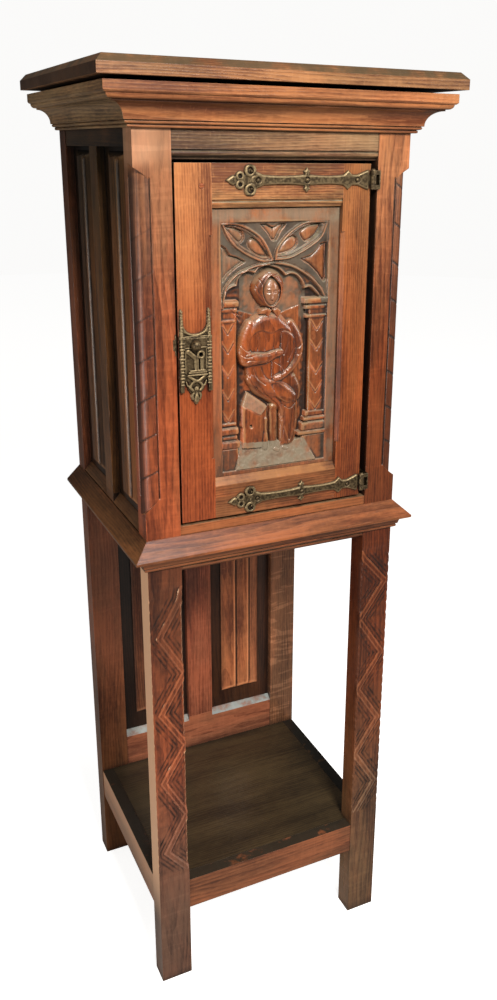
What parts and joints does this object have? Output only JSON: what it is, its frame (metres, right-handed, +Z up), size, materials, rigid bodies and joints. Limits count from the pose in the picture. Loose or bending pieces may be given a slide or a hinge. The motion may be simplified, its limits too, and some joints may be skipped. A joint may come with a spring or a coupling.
{
  "type": "vestment cabinet",
  "caption": "Tall narrow Gothic Revival oak vestment cabinet on an open stand with a shelf, with one carved door on iron strap hinges, a bolt lock and a moulded cornice",
  "frame": {"origin": "on the floor, at the middle of the cabinet's plan", "axes": "+Z up, -Y out of the door, +X to the right of someone who faces the door"},
  "size_m": [0.506, 0.418, 1.4],
  "materials": {
    "oak": "waxed dark oak, worn to red-brown on the edges and the carving",
    "wrought_iron": "dark bronzed iron, rubbed bright on the high places"
  },
  "bodies": {
    "cabinet": {"top_board": "oak", "top_bearers": "oak", "cornice_front": "oak", "cornice_left": "oak", "cornice_right": "oak", "front_left_post": "oak", "front_right_post": "oak", "back_left_post": "oak", "back_right_post": "oak", "head_rail": "oak", "sill_rail": "oak", "left_top_rail": "oak", "left_bottom_rail": "oak", "left_muntin": "oak", "left_front_panel": "oak", "left_rear_panel": "oak", "right_top_rail": "oak", "right_bottom_rail": "oak", "right_muntin": "oak", "right_front_panel": "oak", "right_rear_panel": "oak", "back_top_rail": "oak", "back_middle_rail": "oak", "back_bottom_rail": "oak", "back_upper_muntin": "oak", "back_lower_muntin": "oak", "back_upper_left_panel": "oak", "back_upper_right_panel": "oak", "back_lower_left_panel": "oak", "back_lower_right_panel": "oak", "cupboard_ceiling": "oak", "cupboard_floor": "oak", "waist_front": "oak", "waist_left": "oak", "waist_right": "oak", "shelf_front_rail": "oak", "shelf_left_rail": "oak", "shelf_right_rail": "oak", "shelf_board": "oak", "upper_post_leaf": "wrought_iron", "lower_post_leaf": "wrought_iron", "upper_hinge_pin": "wrought_iron", "lower_hinge_pin": "wrought_iron", "keeper": "wrought_iron"},
    "door": {"door_lock_stile": "oak", "door_hinge_stile": "oak", "door_top_rail": "oak", "door_bottom_rail": "oak", "carved_panel": "oak", "door_pegs": "oak", "upper_strap_hinge": "wrought_iron", "lower_strap_hinge": "wrought_iron", "hinge_nails": "wrought_iron", "lock_plate": "wrought_iron", "pull_knob": "wrought_iron", "lock_case": "wrought_iron"},
    "bolt": {"lock_bolt": "wrought_iron"}
  },
  "joints": [
    {"name": "door_hinge", "type": "hinge", "parent": "cabinet", "child": "door", "pos_m": [0.1395, -0.1592, 1.043], "axis": [0, 0, 1], "range_deg": [0, 160]},
    {"name": "bolt_slide", "type": "slide", "parent": "door", "child": "bolt", "axis": [-1, 0, 0], "range_m": [0, 0.009]}
  ]
}
